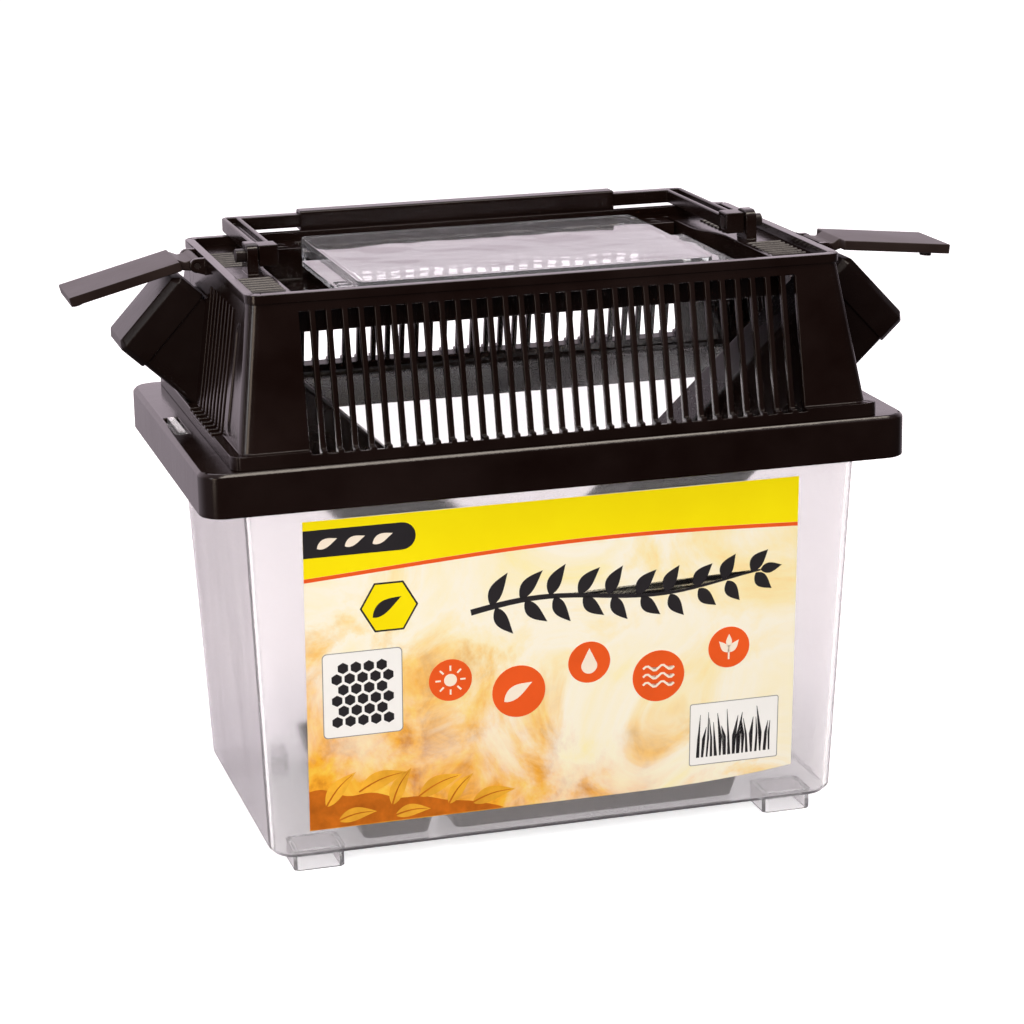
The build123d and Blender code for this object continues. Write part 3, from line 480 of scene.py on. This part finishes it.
# yellow hexagon with a dark rim and a leaf
printed("label_hexagon_rim", [disc(-58, 84.5, 9.6, 6)], INK_DARK, 0, 0.03)
printed("label_hexagon", [disc(-58, 84.5, 8.9, 6)], INK_YELLOW, 0.03, 0.05)
printed("label_hexagon_leaf", [leaf(-63.4, 81.2, 11.5, 4.6, 34, 0.06)], INK_DARK, 0.05, 0.07)

# pale panels: honeycomb at the left, grass blades at the lower right
printed("label_panel_rims", [rounded(-80.3, 41.2, -53.9, 70.4, 1.6), rounded(44.2, 16.6, 75.6, 38.9, 0.8)],
        INK_GREY, 0, 0.03)
printed("label_panels", [rounded(-80.0, 41.5, -54.2, 70.1, 1.4), rounded(44.5, 16.9, 75.3, 38.6, 0.6)],
        INK_WHITE, 0.03, 0.05)
cells = []
for row in range(6):
    for col in range(5 if row % 2 == 0 else 4):
        cx = -75.6 + 4.25 * col + (2.12 if row % 2 else 0)
        cv = 46.6 + 3.68 * row
        cells.append(disc(cx, cv, 1.95, 6, 30))
printed("label_honeycomb", cells, INK_DARK, 0.05, 0.07)
random.seed(5)
blades = []
for i in range(17):
    x = 47.2 + 1.58 * i
    blades.append(stroke([(x, 19.4), (x + random.uniform(-0.5, 0.5), 26),
                          (x + random.uniform(-1.6, 1.6), 32 + random.uniform(-2, 4))],
                         [random.uniform(0.5, 1.2), 0.7, 0.15]))
printed("label_blades", blades, INK_DARK, 0.05, 0.07)

# brown mound along the lower left with amber leaves lying on it
MOUND_END = -20.0
crest = []
for i in range(33):
    t = i / 32
    height = 13.5 * (1 - t) ** 0.75 + 1.1 * (1 - t) * math.sin(i * 0.75)
    crest.append((EDGE_L + (MOUND_END - EDGE_L) * t, EDGE_B + height))
printed("label_mound", [[(EDGE_L, EDGE_B), *crest]], INK_BROWN, 0, 0.03)
litter = [(-80, 17.5, 15, 48), (-69, 21.5, 17, 18), (-58, 15.5, 14, 62), (-49, 17.5, 16, 22), (-39, 13.5, 13, 50),
          (-31, 13.0, 15, 12), (-76, 12.2, 13, 8), (-57, 11.8, 12, 4)]
LITTER_BEND = 0.07
printed("label_leaves", [leaf(x, v, size, size * 0.40, turn, LITTER_BEND) for x, v, size, turn in litter],
        INK_AMBER, 0.03, 0.05)
ribs = []
for x, v, size, turn in litter:
    c, s = math.cos(math.radians(turn)), math.sin(math.radians(turn))
    line = []
    for t in (0, 0.15, 0.3, 0.45, 0.6, 0.75, 0.9):
        bow = size * LITTER_BEND * math.sin(math.pi * t)
        line.append((x + c * size * t - s * bow, v + s * size * t + c * bow))
    ribs.append(stroke(line, [0.6, 0.55, 0.5, 0.4, 0.35, 0.25, 0.15]))
printed("label_leaf_ribs", ribs, INK_BROWN, 0.05, 0.07)


# ------------------------------------------------------------------ camera, light, floor
# the camera fitted to the photograph
YAW, PITCH, ROLL = math.radians(15.748), math.radians(15.250), math.radians(-1.152)
FOCAL_PIXELS, FRAME_PIXELS, SENSOR = 3013.5, 1024, 36.0
CAMERA_PLACE = Vector((-269.01, -957.24, 371.10)) * MM


def make_camera():
    fwd = Vector((math.sin(YAW) * math.cos(PITCH), math.cos(YAW) * math.cos(PITCH), -math.sin(PITCH)))
    level_right = Vector((math.cos(YAW), -math.sin(YAW), 0))
    level_up = level_right.cross(fwd)
    right = level_right * math.cos(ROLL) + level_up * math.sin(ROLL)
    up = level_up * math.cos(ROLL) - level_right * math.sin(ROLL)
    data = bpy.data.cameras.new("camera")
    data.sensor_width = SENSOR
    data.sensor_fit = "HORIZONTAL"
    data.lens = FOCAL_PIXELS / FRAME_PIXELS * SENSOR
    data.clip_start = 0.01
    data.clip_end = 20.0
    cam = bpy.data.objects.new("camera", data)
    bpy.context.scene.collection.objects.link(cam)
    rot = Matrix((right, up, -fwd)).transposed().to_4x4()
    cam.matrix_world = Matrix.Translation(CAMERA_PLACE) @ rot
    bpy.context.scene.camera = cam


def area_light(name, place, target, size, power, colour, in_gloss):
    """A rectangular light; places and sizes in metres, power in watts."""
    data = bpy.data.lights.new(name, "AREA")
    data.shape = "RECTANGLE"
    data.size, data.size_y = size
    data.energy = power
    data.color = colour
    obj = bpy.data.objects.new(name, data)
    bpy.context.scene.collection.objects.link(obj)
    direction = Vector(target) - Vector(place)
    obj.matrix_world = Matrix.Translation(place) @ direction.to_track_quat("-Z", "Y").to_matrix().to_4x4()
    obj.visible_glossy = in_gloss


make_camera()

# floor disc, just under the feet, and a pale dome round everything
STUDIO_R = 5.0
FLOOR_Z = -0.0002
bm = bmesh.new()
bmesh.ops.create_circle(bm, cap_ends=True, cap_tris=False, segments=96, radius=STUDIO_R,
                        matrix=Matrix.Translation((0, 0, FLOOR_Z)))
floor = object_from("studio_floor", bm)
mat, tree, bsdf = new_material("studio_floor_white")
soft = noise_tex(tree, coords(tree), 3, 2, 0.5)
tone = ramp(tree, soft, "Fac", [(0.3, (0.92, 0.92, 0.92)), (0.7, (0.94, 0.94, 0.94))])
link(tree, tone, "Color", bsdf, "Base Color")
bsdf.inputs["Roughness"].default_value = 0.95
bsdf.inputs["Specular IOR Level"].default_value = 0.0
bsdf.inputs["Emission Color"].default_value = (1, 1, 1, 1)
bsdf.inputs["Emission Strength"].default_value = 0.62
set_material(floor, mat)
floor.visible_glossy = False
floor.visible_diffuse = False

bm = bmesh.new()
bmesh.ops.create_uvsphere(bm, u_segments=64, v_segments=32, radius=STUDIO_R)
dome = object_from("studio_dome", bm)
mat = bpy.data.materials.new("studio_dome_white")
mat.use_nodes = True
tree = mat.node_tree
tree.nodes.remove(tree.nodes["Principled BSDF"])
glow = add_node(tree, "ShaderNodeEmission")
soft = noise_tex(tree, coords(tree), 1.5, 2, 0.5)
tone = ramp(tree, soft, "Fac", [(0.3, (0.99, 0.99, 0.99)), (0.7, (1.0, 1.0, 1.0))])
link(tree, tone, "Color", glow, "Color")
link(tree, glow, "Emission", tree.nodes["Material Output"], "Surface")
set_material(dome, mat)
dome.visible_glossy = False
dome.visible_diffuse = False
dome.visible_shadow = False
dome.visible_volume_scatter = False

# surroundings that light and mirror in the object: bright behind, a little to the left and above, dim in front
world = bpy.data.worlds.new("studio")
bpy.context.scene.world = world
world.use_nodes = True
tree = world.node_tree
back = tree.nodes["Background"]
tex = add_node(tree, "ShaderNodeTexCoord")
split = add_node(tree, "ShaderNodeSeparateXYZ")
link(tree, tex, "Generated", split, "Vector")
behind = map_range(tree, split.outputs["Y"], 0.0, 0.75, 0.0, 1.05, "SMOOTHSTEP")
not_low = map_range(tree, split.outputs["Z"], -0.32, 0.12, 0.42, 1.0, "SMOOTHSTEP")
rear = math_node(tree, "MULTIPLY", behind, not_low)
leftward = math_node(tree, "MULTIPLY", split.outputs["X"], -1.0)
side = map_range(tree, leftward, 0.45, 0.95, 0.0, 0.16, "SMOOTHSTEP")
over = map_range(tree, split.outputs["Z"], 0.55, 0.95, 0.0, 0.30, "SMOOTHSTEP")
total = math_node(tree, "ADD", math_node(tree, "ADD", rear, side), math_node(tree, "ADD", over, 0.035))
tint = add_node(tree, "ShaderNodeMix", data_type="RGBA", blend_type="MULTIPLY")
tint.inputs["Factor"].default_value = 1.0
tree.links.new(total, tint.inputs["A"])
tint.inputs["B"].default_value = (1.0, 0.85, 0.95, 1)
tree.links.new(tint.outputs["Result"], back.inputs["Color"])
back.inputs["Strength"].default_value = 1.0

WHITE = (1, 1, 1)
area_light("front_fill", (-0.75, -1.75, 0.95), (0, 0, 0.09), (1.3, 1.0), 37, WHITE, False)
area_light("right_fill", (1.5, -1.2, 0.8), (0, 0, 0.09), (0.9, 0.9), 9, WHITE, False)
area_light("left_strip", (-1.15, -0.55, 0.75), (0, 0, 0.12), (0.22, 0.9), 2.2, WHITE, True)
area_light("top_soft", (-0.1, 0.45, 1.35), (0, 0, 0.15), (1.1, 0.8), 3, WHITE, True)
area_light("corner_strip", (-1.0, -0.86, 0.30), (0, 0, 0.14), (0.30, 0.9), 2.6, (1.0, 0.82, 0.66), True)
area_light("over_box", (0.15, -0.38, 1.3), (0, 0, 0.15), (1.3, 0.22), 7, (1.0, 0.9, 0.78), True)

scene = bpy.context.scene
scene.view_settings.view_transform = "Standard"
scene.view_settings.look = "None"
scene.view_settings.exposure = 0.0
scene.view_settings.gamma = 1.0
